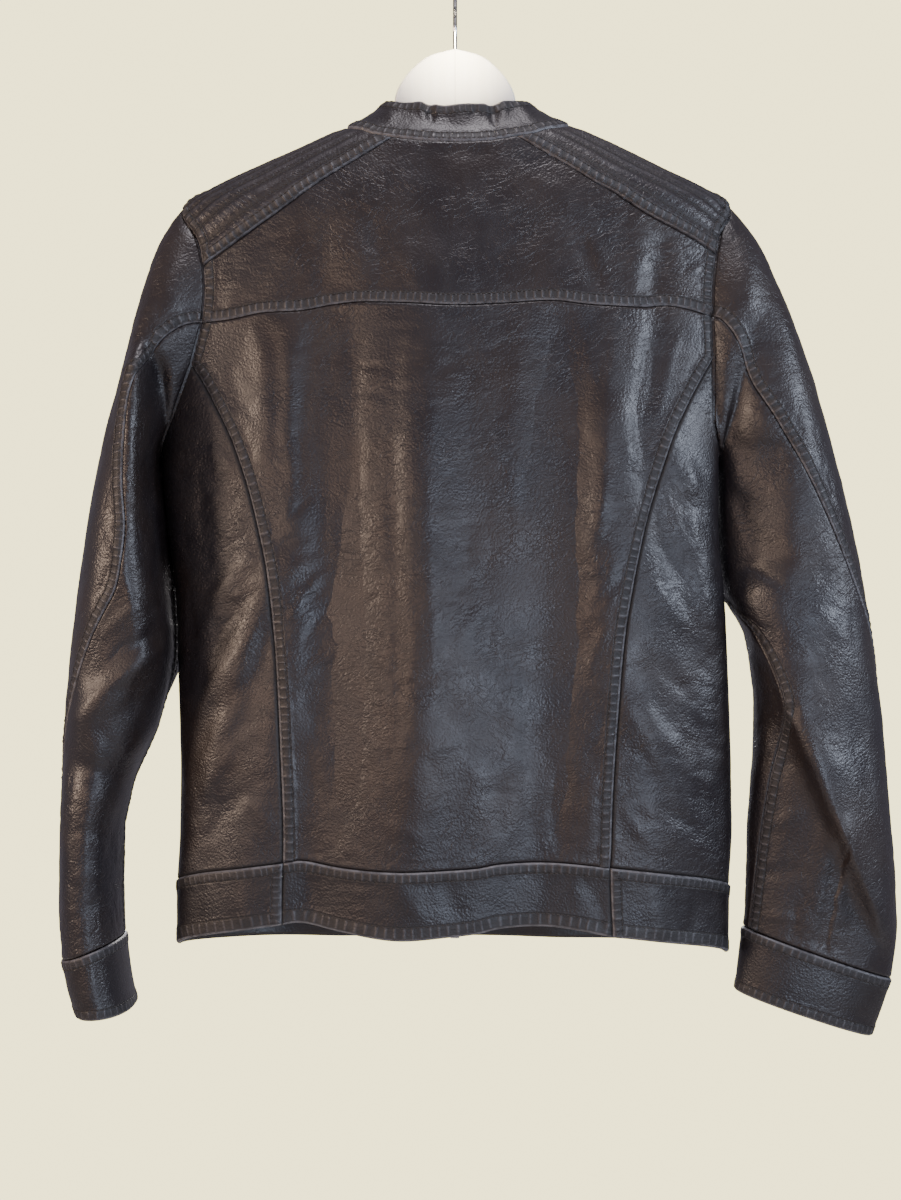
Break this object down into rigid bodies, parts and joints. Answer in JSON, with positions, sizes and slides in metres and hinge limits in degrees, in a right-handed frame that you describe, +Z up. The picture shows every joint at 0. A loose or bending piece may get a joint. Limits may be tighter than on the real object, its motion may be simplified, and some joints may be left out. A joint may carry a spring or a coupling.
{
  "type": "leather jacket on a wooden hanger",
  "caption": "Short zip jacket of dark leather with a band collar and quilted shoulders, hanging on a wooden hanger with a wire hook; the zip's pull tab swings.",
  "frame": {"origin": "where the inside of the hanger's hook bears on what holds it, at the top of the hook's bow", "axes": "+Z up, +X towards the wearer's right, +Y out of the jacket's front; the back of the jacket faces -Y"},
  "size_m": [0.676, 0.1333, 0.8666],
  "materials": {
    "leather": "black-brown grained leather, worn satin sheen",
    "leather_doubled": "the same leather folded double and topstitched",
    "zip_tape": "black woven tape",
    "zip_metal": "plated zip metal",
    "hanger_wood": "white painted wood",
    "hook_wire": "bright plated wire"
  },
  "bodies": {
    "jacket": {"back_yoke": "leather", "back_centre": "leather", "back_side_left": "leather", "back_side_right": "leather", "front_left": "leather", "front_right": "leather", "shoulder_quilted_left": "leather", "shoulder_quilted_right": "leather", "hem_band_back": "leather_doubled", "hem_band_side_left": "leather_doubled", "hem_band_side_right": "leather_doubled", "hem_band_front_left": "leather_doubled", "hem_band_front_right": "leather_doubled", "collar_back": "leather_doubled", "collar_left_front": "leather_doubled", "collar_right_front": "leather_doubled", "sleeve_upper_left": "leather", "sleeve_under_left": "leather", "sleeve_upper_right": "leather", "sleeve_under_right": "leather", "cuff_left": "leather_doubled", "cuff_right": "leather_doubled", "zip_tape_left": "zip_tape", "zip_tape_right": "zip_tape", "zip_slider": "zip_metal", "hanger_wood": "hanger_wood", "hanger_hook": "hook_wire"},
    "pull_tab": {"zip_pull_tab": "zip_metal"}
  },
  "joints": [
    {"name": "pull_tab_swing", "type": "hinge", "parent": "jacket", "child": "pull_tab", "pos_m": [0, 0.05563, -0.186], "axis": [1, 0, 0], "range_deg": [0, 160]}
  ]
}
